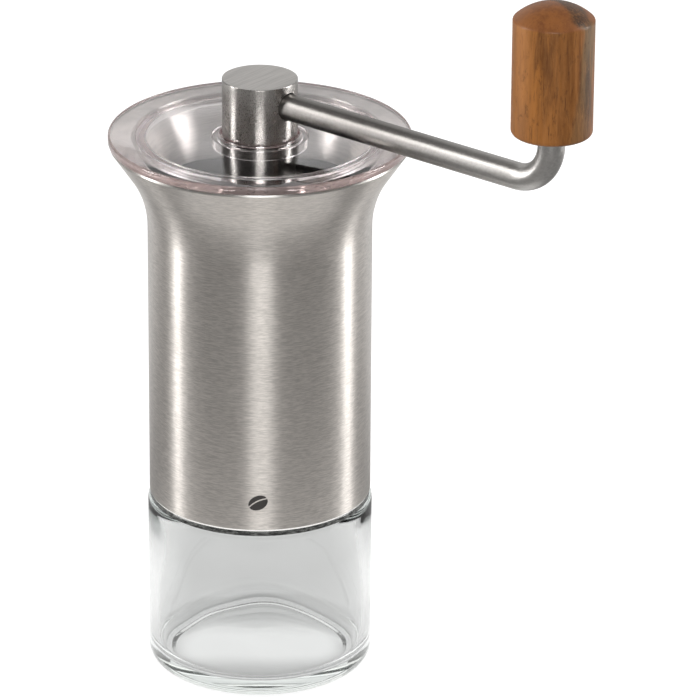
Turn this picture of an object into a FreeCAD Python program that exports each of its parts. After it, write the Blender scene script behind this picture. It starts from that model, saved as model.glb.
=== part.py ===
"""Hand crank coffee grinder: a glass jar, a steel mill with a cone burr, a clear lid and a crank.

Millimetres. The origin is the centre of the jar's foot, +Z runs up the grinder's axis, and the
crank points along +X. Each function makes one piece, where it sits in the closed grinder.
"""
import FreeCAD, Part
import math
import os

Vec = FreeCAD.Vector
UP = Vec(0, 0, 1)

# ---- driving dimensions ------------------------------------------------------------------
# Clearances
run_gap = 0.05            # radial, shaft in bush
press_gap = 0.02          # radial, pieces pressed or glued together
free_gap = 0.3            # radial, curved faces that move past each other

# Glass jar
jar_height = 56.0         # foot to shoulder
jar_step = 0.5            # the jar stands this much outside the steel
jar_wall = 3.4
jar_base = 4.0
jar_heel = 4.0
jar_inner_heel = 4.5
jar_shoulder_round = 3.2
jar_shoulder = 2.4        # glass between the shoulder and the bore's ceiling
jar_inner_shoulder = 1.8
neck_height = 9.5
neck_wall = 2.6
thread_depth = 1.3        # room for the thread between neck and collar

# Steel shell and the funnel under the lid
shell_radius = 34.0
sheet = 0.8
mill_height = 113.85      # steel foot to flange top
foot_gap = 0.4            # dark line between jar and steel
flare_height = 27.25      # straight wall's end to flange top
flare_bend = 32.0
flare_angle = math.radians(34.0)
flange_width = 7.4
flange_crease = 1.0
funnel_depth = 17.5

# Plastic core
seal_thickness = 1.5
seal_lip_step = 0.22      # the lip stands this far inside the steel's face
seal_lip_gap = 0.06       # lip to the steel's foot
seal_round_gap = 0.1      # lip to the shoulder's round
collar_wall = 1.7
collar_depth = 9.5
hopper_wall = 2.8
hopper_rim = 5.0          # core's rim outside the funnel's foot
hopper_straight = 12.0
throat_radius = 15.5
bridge_drop = 9.0         # funnel's foot down to the bridge's seat
bridge_thickness = 4.0
arm_width = 7.0
arm_count = 3

# Shaft and bearings
shaft_radius = 4.0
thread_radius = 3.0       # M6, cut as a plain cylinder
flat_offset = 3.2         # shaft axis to the flat that drives the burr
bush_wall = 2.2
bush_flange = 1.2
washer_thickness = 0.8
circlip_thickness = 0.7
circlip_depth = 0.6
hex_width = 10.0          # across flats
hex_gap = 0.1
hex_grip = 11.0           # how far the socket comes down over the hexagon
shaft_end_drop = 5.85     # lid's top down to the shaft's top

# Burrs and grind adjustment, counted up from the collar's ceiling
nut_radius = 12.5
nut_height = 10.0
nut_rise = 4.0            # nut's top above the collar's ceiling
nut_lobes = 12
detent_thickness = 1.5
detent_radius = 9.0
burr_hub_height = 2.0
inner_burr_height = 19.5
inner_burr_foot = 15.9
inner_burr_nose = 9.5
burr_gap = 0.4            # radial, at the cones' feet
outer_burr_radius = 20.0
outer_burr_height = 19.0
outer_burr_mouth = 14.0
burr_teeth = 14
clamp_thickness = 3.0
clamp_lip = 2.6           # how far the clamp ring reaches in under the burr
spring_length = 8.0
spring_wire = 0.55
spring_turns = 4
lower_bush_height = 6.0
carrier_wall = 9.0
chamber_wall = 2.0          # housing wall round the space under the burr
clamp_screw_inset = 3.7

# Screws
screw_radius = 1.25
screw_head_radius = 2.3
screw_head_height = 1.5
screw_length = 9.0

# Lid
lid_thickness = 2.6
lid_overhang = 0.45
lid_hole_gap = 0.6
lid_edge = 0.5
spigot_depth = 1.8
spigot_width = 1.6
collar_depth_lid = 3.0
collar_wall_lid = 1.5

# Crank
hub_radius = 11.4
hub_height = 18.0
hub_sink = 0.45
rod_radius = 4.0
rod_drop = 6.6            # hub's top down to the rod's axis
rod_grip = 5.5            # rod's end past the hub's axis
rod_hole_gap = 0.4
crank_arm = 110.3
crank_bend = 12.4
plug_radius = 8.0
plug_height = 4.5
grub_radius = 2.5

# Knob
knob_radius = 11.85
knob_height = 39.7
knob_rise = 3.7           # straight rod below the knob
knob_dome = 4.8
knob_heel = 1.5
knob_crease = 0.9
knob_bush_length = 29.0
knob_bush_wall = 1.9
knob_clip_thickness = 0.7

# ---- derived sizes -----------------------------------------------------------------------
shell_inner = shell_radius - sheet
jar_radius = shell_radius + jar_step
jar_bore = jar_radius - jar_wall
core_radius = shell_inner - press_gap
collar_bore = core_radius - collar_wall
neck_radius = collar_bore - free_gap - thread_depth
neck_bore = neck_radius - neck_wall

shell_foot = jar_height + foot_gap
housing_foot = jar_height + seal_thickness
collar_top = housing_foot + collar_depth
flange_top = shell_foot + mill_height
flange_bottom = flange_top - sheet
flare_start = flange_top - flare_height

bend_width = flare_bend * (1 - math.cos(flare_angle))
bend_height = flare_bend * math.sin(flare_angle)
cone_height = flange_bottom - flare_start - bend_height
rim_radius = shell_radius + bend_width + cone_height * math.tan(flare_angle)
funnel_mouth = rim_radius - flange_width
funnel_foot = flange_bottom - funnel_depth
hopper_bore = core_radius - press_gap - sheet - hopper_wall

nut_top = collar_top + nut_rise
burr_foot = nut_top + detent_thickness
cone_foot = burr_foot + burr_hub_height
inner_burr_top = cone_foot + inner_burr_height
outer_burr_top = inner_burr_top
outer_burr_foot = outer_burr_top - outer_burr_height
bush_foot = inner_burr_top + spring_length
housing_top = bush_foot + lower_bush_height
spider_foot = bush_foot + 1.0
clamp_foot = outer_burr_foot - clamp_thickness
carrier_radius = outer_burr_radius + carrier_wall
screw_circle = outer_burr_radius + clamp_screw_inset
chamber_radius = carrier_radius - chamber_wall

bowl_top = funnel_foot - hopper_straight
bridge_foot = funnel_foot - bridge_drop
bridge_top = bridge_foot + bridge_thickness
bush_radius = shaft_radius + run_gap + bush_wall
boss_radius = bush_radius + 2.6
post_radius = screw_radius + 2.4
post_circle = hopper_bore - post_radius - 1.3
washer_foot = bridge_top + bush_flange
hex_foot = washer_foot + washer_thickness
circlip_top = bridge_foot - free_gap

lid_radius = rim_radius + lid_overhang
lid_top = flange_top + lid_thickness
lid_hole = hub_radius + lid_hole_gap
shaft_top = lid_top - shaft_end_drop
shaft_foot = nut_top - nut_height - 1.0

hub_foot = lid_top - hub_sink
hub_top = hub_foot + hub_height
rod_z = hub_top - rod_drop
socket_radius = hub_radius - 0.5
socket_foot = shaft_top - hex_grip
knob_foot = rod_z + crank_bend + knob_rise
knob_top = knob_foot + knob_height
knob_bore = rod_radius + run_gap + knob_bush_wall + press_gap
bush_recess = 0.5
knob_bush_foot = knob_foot + bush_recess
knob_bush_top = knob_bush_foot + knob_bush_length
clip_foot = knob_bush_top + 0.2
pin_top = clip_foot + knob_clip_thickness + 0.8
knob_bore_top = pin_top + 0.7


# ---- shapes used by several pieces -------------------------------------------------------
def cylinder(radius, low, high, x=0.0, y=0.0):
    """Upright cylinder between two heights."""
    return Part.makeCylinder(radius, high - low, Vec(x, y, low), UP)


def ring(outer, inner, low, high):
    """Upright tube between two heights."""
    return cylinder(outer, low, high).cut(cylinder(inner, low - 1, high + 1))


def point(radius, height):
    """Point of a profile, in the plane of X and Z."""
    return Vec(radius, 0, height)


def edges(points):
    """Straight edges that join a list of (radius, height) points."""
    corners = [point(*pair) for pair in points]
    return [Part.makeLine(a, b) for a, b in zip(corners[:-1], corners[1:])]


def arc(start, middle, end):
    """Arc through three (radius, height) points."""
    return Part.Arc(point(*start), point(*middle), point(*end)).toShape()


def spin(profile_edges):
    """Solid made by turning a closed profile round the axis."""
    face = Part.Face(Part.Wire(Part.__sortEdges__(profile_edges)))
    return face.revolve(Vec(0, 0, 0), UP, 360)


def spin_points(points):
    """Solid made by turning a closed polygon round the axis."""
    return spin(edges(points + points[:1]))


def hexagon(width, low, high):
    """Upright hexagonal bar, measured across flats."""
    corner = width / math.sqrt(3)
    angles = [math.radians(60 * k) for k in range(7)]
    corners = [Vec(corner * math.cos(a), corner * math.sin(a), low) for a in angles]
    return Part.Face(Part.makePolygon(corners)).extrude(Vec(0, 0, high - low))


def around(shape, count, first=0.0):
    """Copies of a shape, evenly spaced round the axis."""
    copies = []
    for k in range(count):
        copy = shape.copy()
        copy.rotate(Vec(0, 0, 0), UP, first + 360.0 * k / count)
        copies.append(copy)
    return copies


def cut_all(shape, tools):
    """The shape with every tool cut away."""
    for tool in tools:
        shape = shape.cut(tool)
    return shape


def fuse_all(shape, others):
    """The shape joined with every other one."""
    for other in others:
        shape = shape.fuse(other)
    return shape.removeSplitter()


def d_bar(radius, offset, low, high):
    """Round bar with one flat, the flat facing +X."""
    bar = cylinder(radius, low, high)
    block = Part.makeBox(radius, 4 * radius, high - low + 2, Vec(offset, -2 * radius, low - 1))
    return bar.cut(block)


def screw(circle, seat, direction):
    """Pan head screw at a distance from the axis; its shank runs from the seat along direction."""
    head_far = seat - direction * screw_head_height
    tip = seat + direction * screw_length
    head = cylinder(screw_head_radius, min(seat, head_far), max(seat, head_far), circle)
    shank = cylinder(screw_radius, min(seat, tip), max(seat, tip), circle)
    slot_foot = min(head_far, head_far + direction * 0.8)
    slot = Part.makeBox(6, 0.7, 0.8, Vec(circle - 3, -0.35, slot_foot))
    cross = Part.makeBox(0.7, 6, 0.8, Vec(circle - 0.35, -3, slot_foot))
    return head.fuse(shank).removeSplitter().cut(slot).cut(cross)


# ---- jar ---------------------------------------------------------------------------------
def glass_jar():
    outside = cylinder(jar_radius, 0, jar_height)
    foot_edges = [e for e in outside.Edges if e.BoundBox.ZMax < 0.01]
    outside = outside.makeFillet(jar_heel, foot_edges)
    top_edges = [e for e in outside.Edges if e.BoundBox.ZMin > jar_height - 0.01]
    outside = outside.makeFillet(jar_shoulder_round, top_edges)
    neck = cylinder(neck_radius, jar_height - 2, jar_height + neck_height)
    body = outside.fuse(neck).removeSplitter()
    # the bore is round in its floor's corner and under the shoulder, where it steps in to the neck
    floor = jar_base
    ceiling = jar_height - jar_shoulder
    turn = jar_inner_heel
    tuck = jar_inner_shoulder
    mid = 1 - math.sqrt(0.5)
    bore = edges([(jar_bore, floor + turn), (jar_bore, ceiling - tuck)])
    bore.append(arc((jar_bore, ceiling - tuck), (jar_bore - tuck * mid, ceiling - tuck * mid),
                    (jar_bore - tuck, ceiling)))
    bore += edges([(jar_bore - tuck, ceiling), (neck_bore, ceiling), (neck_bore, jar_height + neck_height + 1),
                   (0, jar_height + neck_height + 1), (0, floor), (jar_bore - turn, floor)])
    bore.append(arc((jar_bore - turn, floor), (jar_bore - turn * mid, floor + turn * mid),
                    (jar_bore, floor + turn)))
    return body.cut(spin(bore))


def jar_seal():
    """Flat ring whose lip follows the shoulder's round and fills the groove under the steel."""
    bore = neck_radius + free_gap
    back = shell_inner - free_gap
    lip_radius = shell_radius - seal_lip_step
    lip_top = shell_foot - seal_lip_gap
    centre = jar_radius - jar_shoulder_round
    middle = jar_height - jar_shoulder_round
    under = jar_shoulder_round + seal_round_gap
    end = math.acos((lip_radius - centre) / under)

    def round_at(angle):
        return centre + under * math.cos(angle), middle + under * math.sin(angle)

    top = round_at(math.pi / 2)
    tip = round_at(end)
    profile = edges([(bore, jar_height), (centre, jar_height), top])
    profile.append(arc(top, round_at((math.pi / 2 + end) / 2), tip))
    profile += edges([tip, (lip_radius, lip_top), (back, lip_top), (back, housing_foot), (bore, housing_foot),
                      (bore, jar_height)])
    return spin(profile)


# ---- steel -------------------------------------------------------------------------------
def outer_shell():
    """Tube that flares by an arc and a cone up to the flange; both faces share the arc's centre."""
    centre = shell_radius + flare_bend

    def flare(radius, share):
        angle = flare_angle * share
        return centre - radius * math.cos(angle), flare_start + radius * math.sin(angle)

    inside = flare_bend + sheet
    rim_inside = rim_radius - sheet / math.cos(flare_angle)
    profile = edges([(shell_inner, flare_start), (shell_inner, shell_foot), (shell_radius, shell_foot),
                     (shell_radius, flare_start)])
    profile.append(arc(flare(flare_bend, 0), flare(flare_bend, 0.5), flare(flare_bend, 1)))
    profile += edges([flare(flare_bend, 1), (rim_radius, flange_bottom), (rim_inside, flange_bottom),
                      flare(inside, 1)])
    profile.append(arc(flare(inside, 1), flare(inside, 0.5), flare(inside, 0)))
    return spin(profile)


def funnel_bend():
    """Radius and angle of the arc from the upright foot to the mouth."""
    width = funnel_mouth - hopper_bore
    radius = (width ** 2 + funnel_depth ** 2) / (2 * width)
    return radius, math.asin(funnel_depth / radius)


def hopper_funnel():
    """Flat flange on the shell's rim, and a trumpet that drops into the core."""
    radius, angle = funnel_bend()
    centre = hopper_bore + radius

    def wall(distance, share):
        turn = angle * share
        return centre - distance * math.cos(turn), funnel_foot + distance * math.sin(turn)

    back = radius - sheet
    back_share = math.asin(funnel_depth / back) / angle
    profile = edges([wall(radius, 1), (funnel_mouth + flange_crease, flange_top), (rim_radius, flange_top),
                     (rim_radius, flange_bottom), wall(back, back_share)])
    profile.append(arc(wall(back, back_share), wall(back, back_share / 2), wall(back, 0)))
    profile += edges([wall(back, 0), wall(radius, 0)])
    profile.append(arc(wall(radius, 0), wall(radius, 0.5), wall(radius, 1)))
    return spin(profile)


# ---- plastic core ------------------------------------------------------------------------
def hopper_core():
    """Cup under the funnel: straight bore, bowl down to the throat, and posts for the bridge."""
    rim_bore = hopper_bore + sheet + press_gap
    rim_outer = hopper_bore + sheet + hopper_wall
    rim_top = funnel_foot + hopper_rim
    cavity = spin_points([(0, housing_top - 1), (throat_radius, housing_top - 1), (throat_radius, housing_top),
                          (hopper_bore, bowl_top), (hopper_bore, funnel_foot), (rim_bore + 1.0, funnel_foot),
                          (rim_bore + 1.0, rim_top + 1), (0, rim_top + 1)])
    outside = spin_points([(0, housing_top), (throat_radius + hopper_wall, housing_top),
                           (rim_outer, bowl_top), (rim_outer, rim_top), (0, rim_top)])
    post = cylinder(post_radius, housing_top, bridge_foot, post_circle)
    posts = [copy.common(outside) for copy in around(post, arm_count, 180.0 / arm_count)]
    pilot = cylinder(screw_radius, bridge_top - screw_length, bridge_foot + 1, post_circle)
    core = fuse_all(outside.cut(cavity), posts)
    return cut_all(core, around(pilot, arm_count, 180.0 / arm_count))


def shaft_bridge():
    """Boss and three arms; each arm is screwed to a post of the core."""
    boss = cylinder(boss_radius, bridge_foot, bridge_top)
    arm = Part.makeBox(post_circle, arm_width, bridge_thickness, Vec(0, -arm_width / 2, bridge_foot))
    end = cylinder(arm_width / 2, bridge_foot, bridge_top, post_circle)
    arm = arm.fuse(end).removeSplitter()
    hole = cylinder(screw_radius + press_gap, bridge_foot - 1, bridge_top + 1, post_circle)
    bridge = fuse_all(boss, around(arm, arm_count, 180.0 / arm_count))
    bridge = cut_all(bridge, around(hole, arm_count, 180.0 / arm_count))
    return bridge.cut(cylinder(bush_radius + press_gap, bridge_foot - 1, bridge_top + 1))


def bridge_bush():
    body = cylinder(bush_radius, bridge_foot, bridge_top)
    body = body.fuse(cylinder(bush_radius + 1.3, bridge_top, washer_foot)).removeSplitter()
    return body.cut(cylinder(shaft_radius + run_gap, bridge_foot - 1, washer_foot + 1))


def bridge_screws():
    one = screw(post_circle, bridge_top, -1)
    return Part.makeCompound(around(one, arm_count, 180.0 / arm_count))


def grinder_housing():
    """Collar over the jar's neck, burr carrier, and a throat with a spider for the lower bush."""
    body = spin_points([(core_radius, housing_foot), (core_radius, collar_top + 3),
                        (carrier_radius, collar_top + 3 + core_radius - carrier_radius),
                        (carrier_radius, outer_burr_top),
                        (throat_radius + hopper_wall, housing_top), (throat_radius, housing_top),
                        (throat_radius, outer_burr_top), (outer_burr_radius + press_gap, outer_burr_top),
                        (outer_burr_radius + press_gap, outer_burr_foot),
                        (chamber_radius, outer_burr_foot), (chamber_radius, collar_top),
                        (collar_bore, collar_top), (collar_bore, housing_foot)])
    arm = Part.makeBox(throat_radius + 1, 4.0, housing_top - spider_foot, Vec(0, -2.0, spider_foot))
    boss = cylinder(boss_radius, spider_foot, housing_top)
    body = fuse_all(body, around(arm, arm_count) + [boss])
    body = body.cut(cylinder(bush_radius + press_gap, spider_foot - 1, housing_top + 1))
    pilot = cylinder(screw_radius, clamp_foot - 1, clamp_foot + screw_length, screw_circle)
    return cut_all(body, around(pilot, arm_count))


def lower_bush():
    return ring(bush_radius, shaft_radius + run_gap, bush_foot, housing_top)


# ---- burrs -------------------------------------------------------------------------------
def tooth_cutter(foot_radius, nose_radius, low, high, depth):
    """V-shaped bar along a cone's side, leaning round the axis so that the teeth spiral."""
    lean = math.radians(14.0)
    overrun = 2.0
    slope = (nose_radius - foot_radius) / (high - low)

    def section(height, turn):
        radius = foot_radius + slope * (height - low)
        half = depth * 0.9
        corners = [(radius - depth, 0), (radius + depth, -2 * half), (radius + depth, 2 * half)]
        points = [Vec(x * math.cos(turn) - y * math.sin(turn), x * math.sin(turn) + y * math.cos(turn), height)
                  for x, y in corners]
        return Part.makePolygon(points + points[:1])

    return Part.makeLoft([section(low - overrun, -lean), section(high + overrun, lean)], True, True)


def outer_burr():
    foot_bore = inner_burr_foot + burr_gap
    body = spin_points([(foot_bore, outer_burr_foot), (outer_burr_radius, outer_burr_foot),
                        (outer_burr_radius, outer_burr_top), (outer_burr_mouth, outer_burr_top),
                        (foot_bore, cone_foot + 6.0)])
    cutter = tooth_cutter(foot_bore - 0.9, outer_burr_mouth - 0.2, outer_burr_foot, outer_burr_top, 1.2)
    return cut_all(body, around(cutter, burr_teeth))


def inner_burr():
    body = spin_points([(0, burr_foot), (detent_radius, burr_foot), (detent_radius, cone_foot),
                        (inner_burr_foot, cone_foot), (inner_burr_foot, cone_foot + 2.0),
                        (inner_burr_nose, inner_burr_top), (0, inner_burr_top)])
    cutter = tooth_cutter(inner_burr_foot + 0.6, inner_burr_nose, cone_foot + 2.0, inner_burr_top, 1.8)
    body = cut_all(body, around(cutter, burr_teeth))
    hole = d_bar(shaft_radius + run_gap, flat_offset + run_gap, burr_foot - 1, inner_burr_top + 1)
    return body.cut(hole)


def burr_clamp_ring():
    body = ring(chamber_radius - free_gap, outer_burr_radius - clamp_lip, clamp_foot, outer_burr_foot)
    hole = cylinder(screw_radius + press_gap, clamp_foot - 1, outer_burr_foot + 1, screw_circle)
    return cut_all(body, around(hole, arm_count))


def clamp_screws():
    return Part.makeCompound(around(screw(screw_circle, clamp_foot, 1), arm_count))


def burr_spring():
    """Open coil between the lower bush and the inner burr."""
    coil_radius = shaft_radius + spring_wire + 0.45
    height = spring_length - 2 * spring_wire
    helix = Part.makeHelix(height / spring_turns, height, coil_radius)
    section = Part.makeCircle(spring_wire, Vec(coil_radius, 0, 0), Vec(0, 1, 0))
    coil = Part.Wire(helix).makePipeShell([Part.Wire(section)], True, True)
    coil.translate(Vec(0, 0, inner_burr_top + spring_wire))
    return coil


def detent_plate():
    body = cylinder(detent_radius, nut_top, burr_foot)
    notch = cylinder(1.0, nut_top - 1, burr_foot + 1, detent_radius)
    body = cut_all(body, around(notch, nut_lobes))
    return body.cut(d_bar(shaft_radius + press_gap, flat_offset + press_gap, nut_top - 1, burr_foot + 1))


def adjusting_nut():
    """Star knob on the shaft's thread."""
    foot = nut_top - nut_height
    body = cylinder(nut_radius, foot, nut_top - 2.5)
    scallop = cylinder(1.8, foot - 1, nut_top, nut_radius + 0.9)
    body = cut_all(body, around(scallop, nut_lobes))
    body = body.fuse(cylinder(detent_radius - 1.0, foot, nut_top)).removeSplitter()
    return body.cut(cylinder(thread_radius + run_gap, foot - 1, nut_top + 1))


# ---- shaft -------------------------------------------------------------------------------
def drive_shaft():
    """Hexagon on top, round bar with a flat for the burr, thread at the foot."""
    bar = cylinder(shaft_radius, bush_foot - 2.0, hex_foot)
    keyed = d_bar(shaft_radius, flat_offset, nut_top, bush_foot - 2.0)
    thread = cylinder(thread_radius, shaft_foot, nut_top)
    shaft = fuse_all(bar, [keyed, thread, hexagon(hex_width, hex_foot, shaft_top)])
    groove_low = circlip_top - circlip_thickness
    return shaft.cut(ring(shaft_radius + 1, shaft_radius - circlip_depth, groove_low, circlip_top))


def shaft_circlip():
    low = circlip_top - circlip_thickness
    body = ring(shaft_radius + 2.0, shaft_radius - circlip_depth, low, circlip_top)
    mouth = Part.makeBox(20, 1.6 * shaft_radius, 4, Vec(0, -0.8 * shaft_radius, low - 1))
    return body.cut(mouth)


def thrust_washer():
    return ring(bush_radius + 1.0, shaft_radius + press_gap, washer_foot, hex_foot)


# ---- lid ---------------------------------------------------------------------------------
def lid():
    """Clear disc with a locating ring that drops into the funnel and a collar round the hub."""
    spigot_top = funnel_mouth - 0.5
    spigot_foot = spigot_top - 1.3
    disc = cylinder(lid_radius, flange_top, lid_top)
    disc = disc.makeFillet(lid_edge, [e for e in disc.Edges if e.BoundBox.ZLength < 0.01])
    spigot = spin_points([(spigot_foot - spigot_width, flange_top - spigot_depth),
                          (spigot_foot, flange_top - spigot_depth), (spigot_top, flange_top),
                          (spigot_top, flange_top + 0.5), (spigot_foot - spigot_width, flange_top + 0.5)])
    collar_bore_lid = lid_hole + 1.1
    collar = ring(collar_bore_lid + collar_wall_lid, collar_bore_lid,
                  flange_top - collar_depth_lid, flange_top + 0.5)
    body = fuse_all(disc, [spigot, collar])
    return body.cut(cylinder(lid_hole, flange_top - 1, lid_top + 1))


# ---- crank -------------------------------------------------------------------------------
def crank_hub():
    body = cylinder(hub_radius, hub_foot, hub_top)
    bore = cylinder(plug_radius, hub_foot - 1, hub_foot + plug_height)
    along = Vec(1, 0, 0)
    rod_hole = Part.makeCylinder(rod_radius + press_gap, 2 * hub_radius, Vec(-rod_grip, 0, rod_z), along)
    mouth_low = rod_radius + press_gap
    mouth = Part.makeCone(mouth_low, mouth_low + 2 * rod_hole_gap, 2 * rod_hole_gap,
                          Vec(hub_radius - 0.9 * rod_hole_gap, 0, rod_z), along)
    grub_hole = Part.makeCylinder(grub_radius + press_gap, hub_radius + 1, Vec(0, 0, rod_z), Vec(0, 1, 0))
    return cut_all(body, [bore, rod_hole, mouth, grub_hole])


def crank_rod():
    """Round bar: arm, bend and upright pin."""
    straight = crank_arm - crank_bend
    turn = crank_bend * math.sqrt(0.5)
    path = Part.Wire([
        Part.makeLine(Vec(-rod_grip, 0, rod_z), Vec(straight, 0, rod_z)),
        Part.Arc(Vec(straight, 0, rod_z), Vec(straight + turn, 0, rod_z + crank_bend - turn),
                 Vec(crank_arm, 0, rod_z + crank_bend)).toShape(),
        Part.makeLine(Vec(crank_arm, 0, rod_z + crank_bend), Vec(crank_arm, 0, pin_top))])
    section = Part.Wire(Part.makeCircle(rod_radius, Vec(-rod_grip, 0, rod_z), Vec(1, 0, 0)))
    rod = path.makePipeShell([section], True, True)
    outer = cylinder(rod_radius + 1, clip_foot, clip_foot + knob_clip_thickness, crank_arm)
    inner = cylinder(rod_radius - circlip_depth, clip_foot, clip_foot + knob_clip_thickness, crank_arm)
    return rod.cut(outer.cut(inner))


def drive_socket():
    """Plastic plug glued into the hub, with a hexagonal pocket for the shaft."""
    body = cylinder(socket_radius, socket_foot, hub_foot)
    body = body.fuse(cylinder(plug_radius - press_gap, hub_foot, hub_foot + plug_height)).removeSplitter()
    return body.cut(hexagon(hex_width + 2 * hex_gap, socket_foot - 1, shaft_top))


def hub_set_screw():
    """Grub screw with a hexagonal pocket, pressing on the rod from +Y."""
    length = hub_radius - rod_radius - 0.8
    body = cylinder(grub_radius, 0, length).cut(hexagon(2.5, length - 2.5, length + 1))
    body.rotate(Vec(0, 0, 0), Vec(1, 0, 0), -90)
    body.translate(Vec(0, rod_radius, rod_z))
    return body


# ---- knob --------------------------------------------------------------------------------
def knob():
    """Turned wood: straight sides, small round at the foot, low dome with a soft crease."""
    crease_z = knob_top - knob_dome
    dome_radius = (knob_radius ** 2 + knob_dome ** 2) / (2 * knob_dome)
    half = math.asin(knob_radius / dome_radius) / 2
    centre_z = knob_top - dome_radius
    middle = (dome_radius * math.sin(half), centre_z + dome_radius * math.cos(half))
    profile = edges([(0, knob_top), (0, knob_foot), (knob_radius, knob_foot), (knob_radius, crease_z)])
    profile.append(arc((knob_radius, crease_z), middle, (0, knob_top)))
    body = spin(profile)
    rims = [e for e in body.Edges if e.BoundBox.ZLength < 0.01 and e.BoundBox.XMax > knob_radius - 0.01]
    body = body.makeFillet(knob_heel, [e for e in rims if e.BoundBox.ZMax < crease_z - 1])
    rims = [e for e in body.Edges if e.BoundBox.ZLength < 0.01 and abs(e.BoundBox.ZMax - crease_z) < 0.01]
    body = body.makeFillet(knob_crease, rims)
    body = body.cut(cylinder(knob_bore, knob_foot - 1, knob_bore_top))
    body.translate(Vec(crank_arm, 0, 0))
    return body


def knob_bush():
    body = ring(knob_bore - press_gap, rod_radius + run_gap, knob_bush_foot, knob_bush_top)
    body.translate(Vec(crank_arm, 0, 0))
    return body


def knob_clip():
    top = clip_foot + knob_clip_thickness
    body = ring(knob_bore - 2 * free_gap + 0.1, rod_radius - circlip_depth, clip_foot, top)
    mouth = Part.makeBox(20, 1.6 * rod_radius, 4, Vec(0, -0.8 * rod_radius, clip_foot - 1))
    body = body.cut(mouth)
    body.translate(Vec(crank_arm, 0, 0))
    return body


PIECES = [glass_jar, jar_seal, outer_shell, hopper_funnel, hopper_core, shaft_bridge, bridge_bush,
          bridge_screws, grinder_housing, lower_bush, outer_burr, inner_burr, burr_clamp_ring,
          clamp_screws, burr_spring, detent_plate, adjusting_nut, drive_shaft, shaft_circlip,
          thrust_washer, lid, crank_hub, crank_rod, drive_socket, hub_set_screw, knob, knob_bush,
          knob_clip]

os.makedirs("parts", exist_ok=True)
for piece in PIECES:
    shape = piece()
    shape.exportStep("parts/" + piece.__name__ + ".step")
    box = shape.optimalBoundingBox()
    print(f"{piece.__name__:16s} solids {len(shape.Solids)} volume {shape.Volume:10.1f} "
          f"z {box.ZMin:7.2f} {box.ZMax:7.2f} r {box.XMax:7.2f} valid {shape.isValid()}")
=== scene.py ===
"""Hand crank coffee grinder: glass jar, flared brushed steel mill, clear lid, steel crank, wooden knob."""
import math

import bmesh
import bpy
import numpy as np
from mathutils import Matrix, Vector


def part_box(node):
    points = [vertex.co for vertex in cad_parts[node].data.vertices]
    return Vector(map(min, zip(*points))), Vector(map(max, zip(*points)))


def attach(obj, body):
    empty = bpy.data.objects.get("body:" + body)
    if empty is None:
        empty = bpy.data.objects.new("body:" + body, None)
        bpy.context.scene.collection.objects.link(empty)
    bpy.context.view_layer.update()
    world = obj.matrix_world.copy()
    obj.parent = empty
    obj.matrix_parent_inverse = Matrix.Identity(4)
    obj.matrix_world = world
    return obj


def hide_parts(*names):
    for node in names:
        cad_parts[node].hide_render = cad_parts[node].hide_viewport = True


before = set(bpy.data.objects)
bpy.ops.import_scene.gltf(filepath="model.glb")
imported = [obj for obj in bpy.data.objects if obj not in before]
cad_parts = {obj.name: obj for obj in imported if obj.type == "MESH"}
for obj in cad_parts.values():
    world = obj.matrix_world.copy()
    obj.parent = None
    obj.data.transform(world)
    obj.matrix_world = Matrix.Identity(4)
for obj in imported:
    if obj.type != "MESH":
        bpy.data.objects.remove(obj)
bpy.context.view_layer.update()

# ---- Glass jar ----------------------------------------------------------------------------------
# A heavy pressed jar of clear soda glass that catches the grounds. The mould leaves a thick base
# with a shallow punt, round heels, and a threaded neck that screws up into the mill's collar.
MM = 0.001


class Value:
    """One output socket of a finish; + - * ** on it add Math nodes to the same finish."""

    def __init__(self, finish, socket):
        self.finish = finish
        self.socket = socket

    def _math(self, operation, a, b):
        return self.finish.node("ShaderNodeMath", {"operation": operation}, {0: a, 1: b})

    def __add__(self, other):
        return self._math("ADD", self, other)

    def __sub__(self, other):
        return self._math("SUBTRACT", self, other)

    def __mul__(self, other):
        return self._math("MULTIPLY", self, other)

    def __pow__(self, other):
        return self._math("POWER", self, other)

    def __rsub__(self, other):
        return self._math("SUBTRACT", other, self)

    __radd__ = __add__
    __rmul__ = __mul__


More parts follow.
